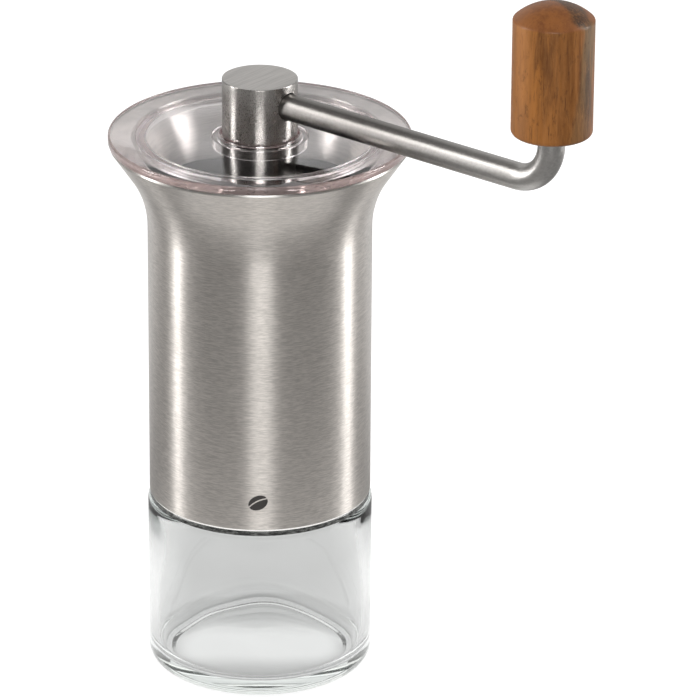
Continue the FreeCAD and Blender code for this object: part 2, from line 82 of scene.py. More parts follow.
class Finish:
    """A material in the making. node() adds any node; the calls below it are common uses of it."""

    def __init__(self, name, **constants):
        self.material = bpy.data.materials.new(name)
        self.material.use_nodes = True
        self.tree = self.material.node_tree
        self.shader = self.tree.nodes["Principled BSDF"]
        self.output = self.tree.nodes["Material Output"]
        for socket, number in constants.items():
            self.set(socket.replace("_", " "), number)

    def node(self, kind, settings, inputs, out=0):
        """Adds a node, sets its settings and then its sockets, and returns the named output."""
        made = self.tree.nodes.new(kind)
        for key, setting in settings.items():
            setattr(made, key, setting)
        for key, given in inputs.items():
            self._fill(made.inputs[key], given)
        return Value(self, made.outputs[out])

    def _fill(self, socket, given):
        """Links a Value to a socket, or sets the socket to a number or colour."""
        if isinstance(given, Value):
            self.tree.links.new(given.socket, socket)
        else:
            socket.default_value = given

    def set(self, name, given):
        """Sets or links a socket of the shader."""
        self._fill(self.shader.inputs[name], given)

    def place(self, stretch=(1, 1, 1), turn=(0, 0, 0), shift=(0, 0, 0)):
        """Object coordinates, in metres, stretched, turned and shifted."""
        at = self.node("ShaderNodeTexCoord", {}, {}, "Object")
        inputs = {"Vector": at, "Location": shift, "Rotation": turn, "Scale": stretch}
        return self.node("ShaderNodeMapping", {}, inputs)

    def axis(self, vector, letter):
        """One number of a vector: its X, Y or Z."""
        return self.node("ShaderNodeSeparateXYZ", {}, {0: vector}, letter)

    def noise(self, vector, scale=1.0, detail=3.0, roughness=0.55, distortion=0.0):
        """Cloudy noise from 0 to 1, of so many grains to the metre, with finer ones for each detail."""
        inputs = {"Vector": vector, "Scale": scale, "Detail": detail, "Roughness": roughness,
                  "Distortion": distortion}
        return self.node("ShaderNodeTexNoise", {}, inputs, "Fac")

    def between(self, value, low, high, to_low=0.0, to_high=1.0, step="SMOOTHSTEP"):
        """Goes from to_low to to_high as value goes from low to high, with soft ends unless asked."""
        inputs = {"Value": value, "From Min": low, "From Max": high, "To Min": to_low, "To Max": to_high}
        return self.node("ShaderNodeMapRange", {"interpolation_type": step}, inputs)

    def mix(self, share, first, second):
        """Colour from first to second as share goes from 0 to 1."""
        inputs = {0: share, 6: first, 7: second}
        return self.node("ShaderNodeMix", {"data_type": "RGBA"}, inputs, 2)

    def bump(self, height, depth, strength=1.0):
        """Links a height, where 1 stands depth metres proud, to the shader's normal."""
        inputs = {"Height": height, "Distance": depth, "Strength": strength}
        self.set("Normal", self.node("ShaderNodeBump", {}, inputs))

    def fill_inside(self, colour, density):
        """Tints light by the depth of clear stuff that it goes through."""
        inputs = {"Color": colour, "Density": density}
        depth = self.node("ShaderNodeVolumeAbsorption", {}, inputs)
        self._fill(self.output.inputs["Volume"], depth)

    def give(self, *nodes):
        """Puts this finish on CAD nodes, by name, or on pieces."""
        for each in nodes:
            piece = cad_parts[each] if isinstance(each, str) else each
            piece.data.materials.clear()
            piece.data.materials.append(self.material)
            for slot in piece.material_slots:
                slot.material = self.material


def rounded(corners, steps=8):
    """Outline from (radius, height, round) corners in mm; each round is a tangent arc in the corner.

    The arc is the quadratic curve (1-t)^2 a + 2t(1-t) corner + t^2 b between its two tangent points,
    pulled to the true circle by its weight, the cosine of half the turn.
    """
    outline = []
    count = len(corners)
    t = np.linspace(0, 1, steps + 1)[:, None]
    for k, (radius, height, size) in enumerate(corners):
        here = np.array([radius, height])
        if size == 0:
            outline.append(here[None])
            continue
        before = np.array(corners[k - 1][:2]) - here
        after = np.array(corners[(k + 1) % count][:2]) - here
        before /= np.linalg.norm(before)
        after /= np.linalg.norm(after)
        opening = math.acos(np.clip(before @ after, -1, 1))
        tangent = size / math.tan(opening / 2)
        weight = math.sin(opening / 2)
        first = here + before * tangent
        last = here + after * tangent
        top = (1 - t) ** 2 * first + 2 * weight * t * (1 - t) * here + t ** 2 * last
        outline.append(top / ((1 - t) ** 2 + 2 * weight * t * (1 - t) + t ** 2))
    return np.concatenate(outline)


def grid_mesh(name, points, wrap_rows, wrap_columns):
    """Mesh of a grid of points in metres: quads join neighbours, and round the ends if asked."""
    rows, columns = points.shape[:2]
    row = np.arange(rows if wrap_rows else rows - 1)
    column = np.arange(columns if wrap_columns else columns - 1)
    i, j = np.meshgrid(row, column, indexing="ij")
    up = (i + 1) % rows
    on = (j + 1) % columns
    quads = np.stack([i * columns + j, i * columns + on, up * columns + on, up * columns + j], -1)
    mesh = bpy.data.meshes.new(name)
    mesh.from_pydata(points.reshape(-1, 3), [], quads.reshape(-1, 4).tolist())
    return mesh


def add_piece(mesh, body, sharp=35):
    """Object of a mesh: doubles merged, faces outwards, edges past so many degrees kept sharp."""
    work = bmesh.new()
    work.from_mesh(mesh)
    bmesh.ops.remove_doubles(work, verts=work.verts, dist=2e-6)
    bmesh.ops.dissolve_degenerate(work, edges=work.edges, dist=1e-7)
    bmesh.ops.recalc_face_normals(work, faces=work.faces)
    work.to_mesh(mesh)
    work.free()
    mesh.shade_smooth()
    mesh.set_sharp_from_angle(angle=math.radians(sharp))
    piece = bpy.data.objects.new(mesh.name, mesh)
    bpy.context.scene.collection.objects.link(piece)
    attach(piece, body)
    return piece


def turned(name, outline, body, around=256, centre=(0.0, 0.0), relief=None):
    """Closed outline of (radius, height) in mm, turned round an upright axis.

    A point is (radius + relief) * (cos a, sin a) for the angle a, plus the axis's place.
    """
    angle = np.arange(around) * 2 * np.pi / around
    radius = np.repeat(outline[:, :1], around, 1)
    height = np.repeat(outline[:, 1:2], around, 1)
    if relief is not None:
        radius = radius + relief(radius, height, angle[None])
    across = centre[0] + radius * np.cos(angle)
    along = centre[1] + radius * np.sin(angle)
    return add_piece(grid_mesh(name, np.stack([across, along, height], -1) * MM, True, True), body)


def replace(node):
    """The piece stands for a CAD node, which is hidden."""
    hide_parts(node)


def reach(node):
    """Lowest and highest corner of a CAD node, in mm."""
    low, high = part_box(node)
    return np.array(low) / MM, np.array(high) / MM


jar_high = reach("glass_jar")[1]
jar_r = jar_high[0]
neck_top = jar_high[2]
neck_tall = 9.5
shoulder = neck_top - neck_tall
jar_wall = 3.4
jar_bore = jar_r - jar_wall
jar_floor = 4.2
shoulder_round = 3.2
shoulder_thick = 2.4
ceiling = shoulder - shoulder_thick
housing_r = reach("grinder_housing")[1][0]
collar_wall = 1.7
collar_bore = housing_r - collar_wall
thread_room = 1.6
neck_r = collar_bore - thread_room
neck_wall = 2.6
neck_bore = neck_r - neck_wall
jar_pitch = 5.0
thread_start = shoulder + 2.2
bead_turns, bead_height, bead_half = 1.25, 1.15, 1.0
bead_lead_in = 0.35


def screw_bead(radius, z, angle):
    """Screw bead of the neck: a cosine hump round the helix z = start + pitch * angle / 2 pi."""
    rise = np.zeros(np.broadcast(radius, z, angle).shape)
    for lap in range(math.ceil(bead_turns)):
        swept = angle + 2 * np.pi * lap
        off = (z - thread_start - jar_pitch * swept / (2 * np.pi)) / bead_half
        to_end = bead_turns * 2 * np.pi - swept
        ends = np.clip(swept / bead_lead_in, 0, 1) * np.clip(to_end / bead_lead_in, 0, 1)
        hump = np.where(abs(off) < 1, 0.5 + 0.5 * np.cos(np.pi * off), 0)
        rise = np.maximum(rise, bead_height * hump * ends)
    return rise * (abs(radius - neck_r) < 0.01)


def pressed_waves(radius, z, angle):
    """Bore's unevenness: long waves round the wall that fade at the floor and at the neck."""
    swell = 0.16 * np.sin(2 * angle + 0.6 + z / 17) + 0.12 * np.sin(3 * angle + 2.1 - z / 11)
    swell = swell + 0.05 * np.sin(7 * angle + z / 6) + 0.10 * np.sin(z / 8.0 + 1.0)
    fade = np.clip((z - 4.5) / 8, 0, 1) * np.clip((ceiling - z) / 6, 0, 1)
    return swell * fade * (abs(radius - jar_bore) < 1.4)


def jar_relief(radius, z, angle):
    """What stands off the jar's turned outline: the neck's bead plus the bore's waves."""
    return screw_bead(radius, z, angle) + pressed_waves(radius, z, angle)


punt_middle, punt_edge = 0.9, 0.6
punt_r, foot_r = 25.6, 27.4
jar_corners = [(0.01, punt_middle, 0), (punt_r, punt_edge, 2.0), (foot_r, 0.0, 1.2), (jar_r, 0.0, 4.0),
               (jar_r, shoulder, shoulder_round), (neck_r, shoulder, 0.35)]
lip_corners = [(neck_r, neck_top, 0.9), (neck_bore, neck_top, 1.2), (neck_bore, ceiling, 1.0),
               (jar_bore, ceiling, 0.8), (jar_bore, jar_floor, 4.5), (0.01, jar_floor - 0.4, 0)]


def upright(radius, low, high, count):
    """Rows of an outline's straight upright run, at one radius, from low to high."""
    return np.stack([np.full(count, radius), np.linspace(low, high, count)], -1)


lip_steps = 14
above_wall = 4 * (lip_steps + 1)
outer = rounded(jar_corners + [(neck_r, neck_top, 0)], 10)[:-1]
inner = rounded([(neck_r, shoulder, 0)] + lip_corners, lip_steps)[1:]
jar_outline = np.concatenate([
    outer, upright(neck_r, shoulder + 0.4, neck_top - 1.0, 90), inner[:above_wall],
    upright(jar_bore, ceiling - 2.2, jar_floor + 5, 24), inner[above_wall:]])
jar = turned("jar_of_glass", jar_outline, "jar", 320, relief=jar_relief)
replace("glass_jar")

glass = Finish("clear_glass", Transmission_Weight=1.0, IOR=1.5, Roughness=0.0)
glass.set("Base Color", (0.99, 0.995, 0.992, 1))
glass.fill_inside((0.67, 0.76, 0.72, 1), 7.0)
glass.give(jar)

# ---- Jar seal -----------------------------------------------------------------------------------
# A ring of black rubber under the mill's foot. The jar's shoulder presses on it, and its lip fills
# the groove between the glass's round and the steel, where it shows as a dark line with grey patches.
seal_high = reach("jar_seal")[1]
seal_bore = neck_r + 0.3
seal_back = collar_bore + 1.42
lip_r = seal_high[0]
lip_top = shoulder + 0.34
round_r = jar_r - shoulder_round
round_z = shoulder - shoulder_round
lip_bend = shoulder_round + 0.05
lip_turn = np.linspace(np.pi / 2, math.acos((lip_r - round_r) / lip_bend), 12)
lip_under = np.stack([round_r + lip_bend * np.cos(lip_turn), round_z + lip_bend * np.sin(lip_turn)], -1)
seal_rest = rounded([tuple(lip_under[-1]) + (0,), (lip_r, lip_top, 0.3), (seal_back, lip_top, 0),
                     (seal_back, seal_high[2], 0.1), (seal_bore, seal_high[2], 0.2),
                     (seal_bore, shoulder, 0.2), (round_r, shoulder, 0)], 5)[1:]
seal_outline = np.concatenate([lip_under, seal_rest])
seal = turned("seal_ring", seal_outline, "seal", 192)
replace("jar_seal")
rubber = Finish("black_rubber", Roughness=0.22, Coat_Weight=0.6, Coat_Roughness=0.06)
grime = rubber.noise(rubber.place((1, 1, 3)), 420, 5, 0.7)
patches = rubber.between(grime, 0.38, 0.66)
rubber.set("Base Color", rubber.mix(patches, (0.010, 0.010, 0.010, 1), (0.15, 0.155, 0.145, 1)))
rubber.set("Roughness", patches * 0.25 + 0.15)
rubber.bump(grime, 0.0001, 0.5)
rubber.give(seal)

# ---- Outer shell --------------------------------------------------------------------------------
# One tube of 0.8 mm stainless steel, spun out to a trumpet mouth. It is brushed on the lathe, so
# fine strokes run round it; its foot is bevelled, and the bevel is painted bright as a painted highlight.
# It is glued over the plastic core.
shell_low, shell_high = reach("outer_shell")
shell_foot, shell_top = shell_low[2], shell_high[2]
sheet = 0.8
glue = 0.02
rim_r = shell_high[0]
shell_r = housing_r + glue + sheet
flare_bend = 32.0
flare_angle = math.radians(34.0)
flare_tall = 27.25
flare_start = shell_top + sheet - flare_tall
bevel_in, bevel_up = 0.24, 0.6


def flare_arc(distance, start, end, steps):
    """Arc of the flare, at a distance from its centre, as its angle goes from start to end."""
    turn = np.linspace(start, end, steps)
    return np.stack([shell_r + flare_bend - distance * np.cos(turn),
                     flare_start + distance * np.sin(turn)], -1)


foot_corners = [(shell_r - sheet, shell_foot + 1, 0), (shell_r - sheet, shell_foot, 0.12),
                (shell_r - bevel_in, shell_foot, 0.1), (shell_r, shell_foot + bevel_up, 0.5),
                (shell_r, shell_foot + 2, 0)]
shell_outline = np.concatenate([
    rounded(foot_corners, 7)[1:-1],
    upright(shell_r, shell_foot + 1.2, flare_start - 1, 24),
    flare_arc(flare_bend, 0, flare_angle, 40),
    [(rim_r, shell_top), (rim_r - sheet / math.cos(flare_angle), shell_top)],
    flare_arc(flare_bend + sheet, flare_angle, 0, 24)])
shell = turned("steel_shell", shell_outline, "mill", 384)
replace("outer_shell")


def brushed(name, tone, along, across, roughness, streaks=0.12, depth=0.000004, aniso=0.9):
    """Brushed steel: strokes of noise stretched along X and Y, thin across Z, in two sizes.

    Object coordinates are scaled by along in X and Y and by across in Z, so a stroke follows the
    surface round the axis. The strokes tint the steel, vary its roughness and dent it a little.
    """
    steel = Finish(name, Metallic=1.0, Anisotropic=aniso, Anisotropic_Rotation=0.25)
    fine = steel.noise(steel.place((along, along, across)), 1.0, 4, 0.65)
    coarse = steel.noise(steel.place((along * 0.35, along * 0.35, across * 0.3)), 1.0, 3, 0.6)
    cloud = steel.noise(steel.place(), 22, 2)
    strokes = steel.between(fine * 0.82 + coarse * 0.18, 0.37, 0.63)
    dark = tuple(channel * (1 - streaks) for channel in tone) + (1,)
    light = tuple(min(channel * (1 + streaks), 1) for channel in tone) + (1,)
    steel.set("Base Color", steel.mix(strokes * 0.85 + cloud * 0.15, dark, light))
    steel.set("Roughness", (strokes - 0.5) * 0.03 + (cloud - 0.5) * 0.05 + roughness)
    steel.bump(strokes, depth, 0.5)
    return steel


def paint_faces(piece, slot, chosen):
    """Gives a material slot to the faces whose centre and normal, as arrays, the rule picks."""
    faces = piece.data.polygons
    centre = np.empty((len(faces), 3))
    normal = np.empty((len(faces), 3))
    index = np.empty(len(faces), dtype=np.int32)
    faces.foreach_get("center", centre.ravel())
    faces.foreach_get("normal", normal.ravel())
    faces.foreach_get("material_index", index)
    index[chosen(centre, normal)] = slot
    faces.foreach_set("material_index", index)


shell_steel = brushed("shell_steel_brushed", (0.575, 0.541, 0.506), 380, 4200, 0.33,
                      streaks=0.19, depth=0.000001)
shell_steel.give(shell)
# Painted highlight: the bevel's light base colour stands in for the bright line that light makes along the
# foot.
bevel_highlight_steel = Finish("bevel_painted_highlight", Metallic=1.0, Roughness=0.22)
nicks = bevel_highlight_steel.noise(bevel_highlight_steel.place(), 700, 3)
bevel_highlight_steel.set("Base Color", bevel_highlight_steel.mix(nicks, (0.70, 0.69, 0.67, 1), (0.92, 0.91, 0.89, 1)))
shell.data.materials.append(bevel_highlight_steel.material)
paint_faces(shell, 1, lambda centre, normal: centre[:, 2] < (shell_foot + bevel_up) * MM)

# ---- Printed bean -------------------------------------------------------------------------------
# A small coffee bean in dark grey screen print, low on the front of the shell: two halves with a
# gap between them that bows to one side like the crease of a bean.
camera_azimuth = math.radians(39.65)
front = camera_azimuth - math.pi / 2
bean_w, bean_h, bean_z = 3.1, 2.3, 66.0
bean_lean = math.radians(28)
crease_bow, crease_half = 0.26, 0.08
ink_proud = 0.012


def bean_half(side):
    """Half of an ellipse, laid round the shell: from its bowed crease to its rim sqrt(1 - x^2).

    The crease is bow (1 - x^2), set off by half the gap. Rows follow x, and columns go outwards.
    """
    x = np.linspace(-1, 1, 49)[:, None]
    outwards = np.linspace(0, 1, 9)[None]
    rim = np.sqrt(np.clip(1 - x ** 2, 0, 1))
    crease = np.clip(side * crease_bow * (1 - x ** 2) + crease_half, -rim, rim)
    y = side * (crease + (rim - crease) * outwards)
    along = x * bean_w * math.cos(bean_lean) - y * bean_h * math.sin(bean_lean)
    rise = x * bean_w * math.sin(bean_lean) + y * bean_h * math.cos(bean_lean)
    angle = front + along / shell_r
    proud = shell_r + ink_proud
    return np.stack([proud * np.cos(angle), proud * np.sin(angle), bean_z + rise], -1)


ink = Finish("grey_ink", Roughness=0.5)
speck = ink.noise(ink.place(), 2500, 3)
ink.set("Base Color", ink.mix(speck, (0.025, 0.022, 0.02, 1), (0.055, 0.05, 0.046, 1)))
for side, label in ((1, "upper"), (-1, "lower")):
    half = add_piece(grid_mesh("bean_print_" + label, bean_half(side) * MM, False, False), "mill")
    solid = half.modifiers.new("thickness", "SOLIDIFY")
    solid.thickness = 0.00001
    solid.offset = 0
    ink.give(half)

# ---- Hopper funnel ------------------------------------------------------------------------------
# A second pressing of stainless sheet: a flat flange that covers the shell's rim, and a trumpet
# that leads the beans down into the core. It is turned and satin brushed like the shell.
funnel_low, funnel_high = reach("hopper_funnel")
flange_top = funnel_high[2]
funnel_foot = funnel_low[2]
flange_wide = 7.4
mouth_r = rim_r - flange_wide
slip = 0.04
throat_wall = 2.8
funnel_bore = shell_r - sheet - slip - sheet - throat_wall
drop = shell_top - funnel_foot
spread = mouth_r - funnel_bore
funnel_arc = (spread ** 2 + drop ** 2) / (2 * spread)
funnel_turn = math.asin(drop / funnel_arc)


def funnel_wall(distance, start, end, steps):
    """Arc of the trumpet, at a distance from its centre outside the wall."""
    turn = np.linspace(start, end, steps)
    return np.stack([funnel_bore + funnel_arc - distance * np.cos(turn),
                     funnel_foot + distance * np.sin(turn)], -1)


below_crease = tuple(funnel_wall(funnel_arc, 0, funnel_turn, 12)[-3]) + (0,)
crease_corners = [below_crease, (mouth_r + 0.75, flange_top, 1.0), (rim_r - 1, flange_top, 0)]
mouth_crease = rounded(crease_corners, 8)[1:-1]
funnel_back = funnel_arc - sheet
back_turn = math.asin(drop / funnel_back)
rim_edge = rounded([(rim_r - 1, flange_top, 0), (rim_r, flange_top, 0.3), (rim_r, shell_top, 0.12),
                    (rim_r - 1, shell_top, 0)], 5)[1:-1]
funnel_outline = np.concatenate([
    funnel_wall(funnel_arc, 0, funnel_turn * 0.95, 40), mouth_crease, rim_edge,
    funnel_wall(funnel_back, back_turn, 0, 30)])
funnel = turned("steel_funnel", funnel_outline, "mill", 320)
replace("hopper_funnel")
funnel_steel = brushed("funnel_steel_brushed", (0.68, 0.655, 0.625), 150, 2200, 0.40, aniso=0.95)
funnel_steel.give(funnel)

# ---- Core, housing and bridge -------------------------------------------------------------------
# The works sit in glass-filled black plastic: the hopper's bowl, the burr housing with the jar's
# collar, the three-armed bridge and the adjusting nut. The mould leaves a fine matt grain.
plastic = Finish("black_plastic", Roughness=0.48, IOR=1.5)
grain = plastic.noise(plastic.place(), 3200, 2)
flow = plastic.noise(plastic.place((1, 1, 0.35)), 60, 3)
plastic.set("Base Color", plastic.mix(flow, (0.013, 0.013, 0.014, 1), (0.026, 0.026, 0.028, 1)))
plastic.set("Roughness", flow * 0.12 + 0.42)
plastic.bump(grain, 0.00003, 0.35)
plastic.give("hopper_core", "grinder_housing", "shaft_bridge", "adjusting_nut")

# ---- Collar thread ------------------------------------------------------------------------------
# The female thread moulded inside the housing's collar: one round-backed ridge that runs between
# the turns of the bead on the jar's neck. Its section is a cosine hump on the same helix.
ridge_swept = 1.1 * 2 * np.pi
ridge_height, ridge_half = 1.05, 0.75
ridge_sunk = 0.25
ridge_lead_in = 0.4
ridge_angle = np.linspace(0, ridge_swept, 241)[:, None]
ridge_section = np.linspace(0, 2 * np.pi, 17)[None, :-1]
ridge_fade = np.clip(np.minimum(ridge_angle, ridge_swept - ridge_angle) / ridge_lead_in, 0.03, 1)
ridge_back = 0.5 + 0.5 * np.cos(ridge_section)
ridge_r = collar_bore + ridge_sunk - ridge_fade * (ridge_sunk + ridge_height) * ridge_back
ridge_z = (thread_start + jar_pitch * 0.5 + jar_pitch * ridge_angle / (2 * np.pi)
           + ridge_half * ridge_fade * np.sin(ridge_section))
ridge_points = np.stack([ridge_r * np.cos(ridge_angle), ridge_r * np.sin(ridge_angle), ridge_z], -1)
collar_thread = add_piece(grid_mesh("collar_thread", ridge_points * MM, False, True), "mill")
plastic.give(collar_thread)

# ---- Burrs --------------------------------------------------------------------------------------
# A cone in a ring, both pressed and fired from white technical ceramic, with spiral teeth. The
# fired skin is slightly cloudy and finely pitted.
ceramic = Finish("fired_ceramic", Roughness=0.35, IOR=1.6)
cloudy = ceramic.noise(ceramic.place(), 140, 4)
pits = ceramic.noise(ceramic.place(), 2400, 3)
ceramic.set("Base Color", ceramic.mix(cloudy, (0.78, 0.755, 0.70, 1), (0.88, 0.87, 0.84, 1)))
ceramic.set("Roughness", cloudy * 0.2 + 0.28)
ceramic.bump(pits, 0.00002, 0.4)
ceramic.give("outer_burr", "inner_burr")

# ---- Bushes, stampings and screws ---------------------------------------------------------------
# Sintered bronze bushes run the shaft. The clamp ring, click plate, washer and clips are stamped
# from steel sheet and tumbled, and the screws are plated with zinc.
bronze = Finish("sintered_bronze", Metallic=1.0)
sinter = bronze.noise(bronze.place(), 2600, 4)
bronze.set("Base Color", bronze.mix(sinter, (0.42, 0.27, 0.13, 1), (0.66, 0.47, 0.25, 1)))
bronze.set("Roughness", sinter * 0.25 + 0.3)
bronze.bump(sinter, 0.00002, 0.5)
bronze.give("bridge_bush", "lower_bush")

stamped = brushed("stamped_steel", (0.50, 0.50, 0.50), 900, 900, 0.42, aniso=0.0)
stamped.give("burr_clamp_ring", "detent_plate", "thrust_washer", "shaft_circlip", "knob_clip")

zinc = Finish("zinc_plate", Metallic=1.0)
bloom = zinc.noise(zinc.place(), 700, 4)
zinc.set("Base Color", zinc.mix(bloom, (0.50, 0.51, 0.53, 1), (0.66, 0.66, 0.65, 1)))
zinc.set("Roughness", bloom * 0.2 + 0.24)
zinc.bump(bloom, 0.00001, 0.4)
zinc.give("bridge_screws", "clamp_screws", "hub_set_screw")

# ---- Drive shaft --------------------------------------------------------------------------------
# Turned stainless bar with a milled hexagon on top; the lathe leaves rings across its length.
turned_steel = brushed("turned_steel", (0.60, 0.595, 0.58), 120, 5200, 0.28, depth=0.000006)
turned_steel.give("drive_shaft")

# ---- Burr spring --------------------------------------------------------------------------------
# Bright spring wire wound in five turns, a round bar on a helix. The middle turns stand open, and
# the wire lies level at both ends.
spring_low, spring_high = reach("burr_spring")
wire = 0.55
coil_r = spring_high[0] - wire
spring_turn = np.linspace(0, 1, 321)[:, None]
wire_angle = np.linspace(0, 2 * np.pi, 13)[None, :-1]
laps = 5.0
level_end = 0.08
climb = np.clip((spring_turn - level_end) / (1 - 2 * level_end), 0, 1)
spring_z = spring_low[2] + wire + (spring_high[2] - spring_low[2] - 2 * wire) * climb
lap_angle = spring_turn * laps * 2 * np.pi
spring_r = coil_r + wire * np.cos(wire_angle)
spring_points = np.stack([spring_r * np.cos(lap_angle), spring_r * np.sin(lap_angle),
                          spring_z + wire * np.sin(wire_angle)], -1)
spring = add_piece(grid_mesh("wire_spring", spring_points * MM, False, True), "burr", 60)
replace("burr_spring")
stamped.give(spring)

# ---- Lid ----------------------------------------------------------------------------------------
# A polished disc of clear plastic with a faint rose tint that gathers at the edge. Underneath, a
# frosted ring drops into the funnel and a short collar stands round the hub's hole.
lid_low, lid_high = reach("lid")
lid_top = lid_high[2]
lid_r = lid_high[0]
lid_hole = reach("crank_hub")[1][1] + 0.6
lid_foot = lid_low[2]
lid_under = flange_top + 0.03
ring_r = mouth_r - 0.5
ring_foot = flange_top - 1.8
ring_wide, ring_slope = 2.9, 1.3
collar_r = lid_hole + 1.1
collar_wide = 1.5
edge_deep = 0.55
lid_outline = rounded([
    (lid_hole, lid_top, 0.25), (lid_hole, lid_under, 0.15), (collar_r, lid_under, 0.2),
    (collar_r, lid_foot, 0.25), (collar_r + collar_wide, lid_foot, 0.25),
    (collar_r + collar_wide, lid_under, 0.2), (ring_r - ring_wide, lid_under, 0.25),
    (ring_r - ring_wide, ring_foot, 0.3), (ring_r - ring_slope, ring_foot, 0.3),
    (ring_r, lid_under, 0.2), (lid_r, lid_under, 0.5), (lid_r, lid_top, 0.6)], 6)
lid = turned("clear_lid", lid_outline, "lid", 384)
replace("lid")
clear = Finish("clear_plastic", Transmission_Weight=1.0, IOR=1.49, Roughness=0.0)
clear.set("Base Color", (0.99, 0.975, 0.98, 1))
clear.fill_inside((0.80, 0.50, 0.54, 1), 9.0)
clear.give(lid)
rose = Finish("rose_edge", Transmission_Weight=0.62, IOR=1.49, Roughness=0.06)
frost = rose.noise(rose.place((1, 1, 4)), 260, 3)
rose.set("Base Color", rose.mix(frost, (0.37, 0.275, 0.262, 1), (0.54, 0.425, 0.405, 1)))
lid.data.materials.append(rose.material)
frosted = Finish("frosted_ring", Transmission_Weight=1.0, IOR=1.49)
matt = frosted.noise(frosted.place(), 900, 3)
frosted.set("Base Color", frosted.mix(matt, (0.86, 0.82, 0.82, 1), (0.96, 0.94, 0.94, 1)))
frosted.set("Roughness", matt * 0.12 + 0.26)
lid.data.materials.append(frosted.material)


def beyond(centre, radius):
    """Picks the faces further than a radius in mm from the upright axis."""
    return np.hypot(centre[:, 0], centre[:, 1]) > radius * MM


paint_faces(lid, 2, lambda centre, normal: (centre[:, 2] < (lid_under - 0.05) * MM)
            & beyond(centre, ring_r - 3))
paint_faces(lid, 1, lambda centre, normal: beyond(centre, lid_r - edge_deep))

# ---- Crank hub ----------------------------------------------------------------------------------
# A slug of stainless bar, faced with straight strokes on top and finely sanded round its side. The
# rod sits in a countersunk cross hole, and a grub screw in a second hole holds it.
hub_low, hub_high = reach("crank_hub")
rod_low, rod_high = reach("crank_rod")
hub_r = hub_high[1]
rod_r = rod_high[1]
rod_z = rod_low[2] + rod_r
plug_r = reach("drive_socket")[1][0] + 0.5 - 3.4
plug_top = hub_low[2] + 4.5
hub_outline = rounded([(0.01, hub_high[2], 0), (hub_r, hub_high[2], 0.22), (hub_r, hub_low[2], 0.2),
                       (plug_r, hub_low[2], 0.15), (plug_r, plug_top, 0), (0.01, plug_top, 0)], 5)


def divided(outline, longest):
    """Outline with even points added on its long runs: corner + share * (next corner - corner)."""
    rows = [outline[:1]]
    for corner, following in zip(outline[:-1], outline[1:]):
        runs = max(1, int(np.linalg.norm(following - corner) / longest))
        share = np.linspace(0, 1, runs + 1)[1:, None]
        rows.append(corner + (following - corner) * share)
    return np.concatenate(rows)


hub = turned("steel_hub", divided(hub_outline, 1.5), "crank", 256)


def carve(piece, cutters):
    """Cuts each mesh out of the piece for good, then marks its sharp edges again."""
    for cutter in cutters:
        tool = bpy.data.objects.new("cutter", cutter)
        bpy.context.scene.collection.objects.link(tool)
        cut = piece.modifiers.new("cut", "BOOLEAN")
        cut.object = tool
        cut.solver = "EXACT"
        made = bpy.data.meshes.new_from_object(piece.evaluated_get(bpy.context.evaluated_depsgraph_get()))
        piece.modifiers.clear()
        piece.data = made
        bpy.data.objects.remove(tool)
    piece.data.shade_smooth()
    piece.data.set_sharp_from_angle(angle=math.radians(35))


def bar_along(outline, start, direction, around=96):
    """Closed mesh of (radius, distance) rows turned round a level line that leaves start, in mm.

    A point is start + distance * direction + radius * (cos a * side + sin a * up) for the angle a.
    """
    angle = (np.arange(around) * 2 * np.pi / around)[:, None]
    direction = np.array(direction, float)
    side = np.array([-direction[1], direction[0], 0])
    spoke = np.cos(angle) * side + np.sin(angle) * np.array([0, 0, 1])
    points = np.array(start) + outline[:, None, :1] * spoke + outline[:, None, 1:2] * direction
    return grid_mesh("bar", points * MM, False, True)


def countersunk(bore, inner_end, lip, sink, flare, past):
    """Outline of a hole out through the hub's side, from its inner end; its mouth widens to flare."""
    return np.array([(0.01, inner_end), (bore, inner_end), (bore, hub_r - lip),
                     (flare, hub_r + sink), (flare, hub_r + past), (0.01, hub_r + past)])


hole_r = rod_r + 0.02
grub_r = 2.52
rod_hole = countersunk(hole_r, -5.5, 0.75, 0.3, rod_r + 0.55, 3)
grub_hole = countersunk(grub_r, 0, 0.3, 0.2, grub_r + 0.4, 2)
hub_middle = (0, 0, rod_z)
carve(hub, [bar_along(rod_hole, hub_middle, (1, 0, 0)), bar_along(grub_hole, hub_middle, (0, 1, 0))])
replace("crank_hub")

hub_steel = Finish("hub_steel_sanded", Metallic=1.0, Anisotropic=0.55, Anisotropic_Rotation=0.25)
sand = hub_steel.noise(hub_steel.place((1, 1, 0.6)), 3600, 3, 0.7)
smear = hub_steel.noise(hub_steel.place((1, 1, 0.4)), 420, 3)
rubbed = sand * 0.6 + smear * 0.4
hub_steel.set("Base Color", hub_steel.mix(rubbed, (0.22, 0.207, 0.195, 1), (0.58, 0.555, 0.53, 1)))
hub_steel.set("Roughness", sand * 0.2 + smear * 0.02 + 0.17)
hub_steel.bump(sand, 0.0000016, 0.6)
hub_steel.give(hub)
faced = Finish("hub_steel_faced", Metallic=1.0)
stroke_turn = (0, 0, math.radians(-32))
lines = faced.noise(faced.place((2600, 70, 1), stroke_turn), 1.0, 4, 0.7)
bands = faced.noise(faced.place((500, 16, 1), stroke_turn), 1.0, 2, 0.5)
straight_strokes = faced.between(lines * 0.7 + bands * 0.3, 0.36, 0.64)
faced.set("Base Color", faced.mix(straight_strokes, (0.37, 0.355, 0.34, 1), (0.55, 0.53, 0.51, 1)))
faced.set("Roughness", straight_strokes * 0.12 + 0.30)
faced.bump(straight_strokes, 0.000004, 0.6)
hub.data.materials.append(faced.material)
paint_faces(hub, 1, lambda centre, normal: (normal[:, 2] > 0.9)
            & (centre[:, 2] > (hub_high[2] - 0.1) * MM))
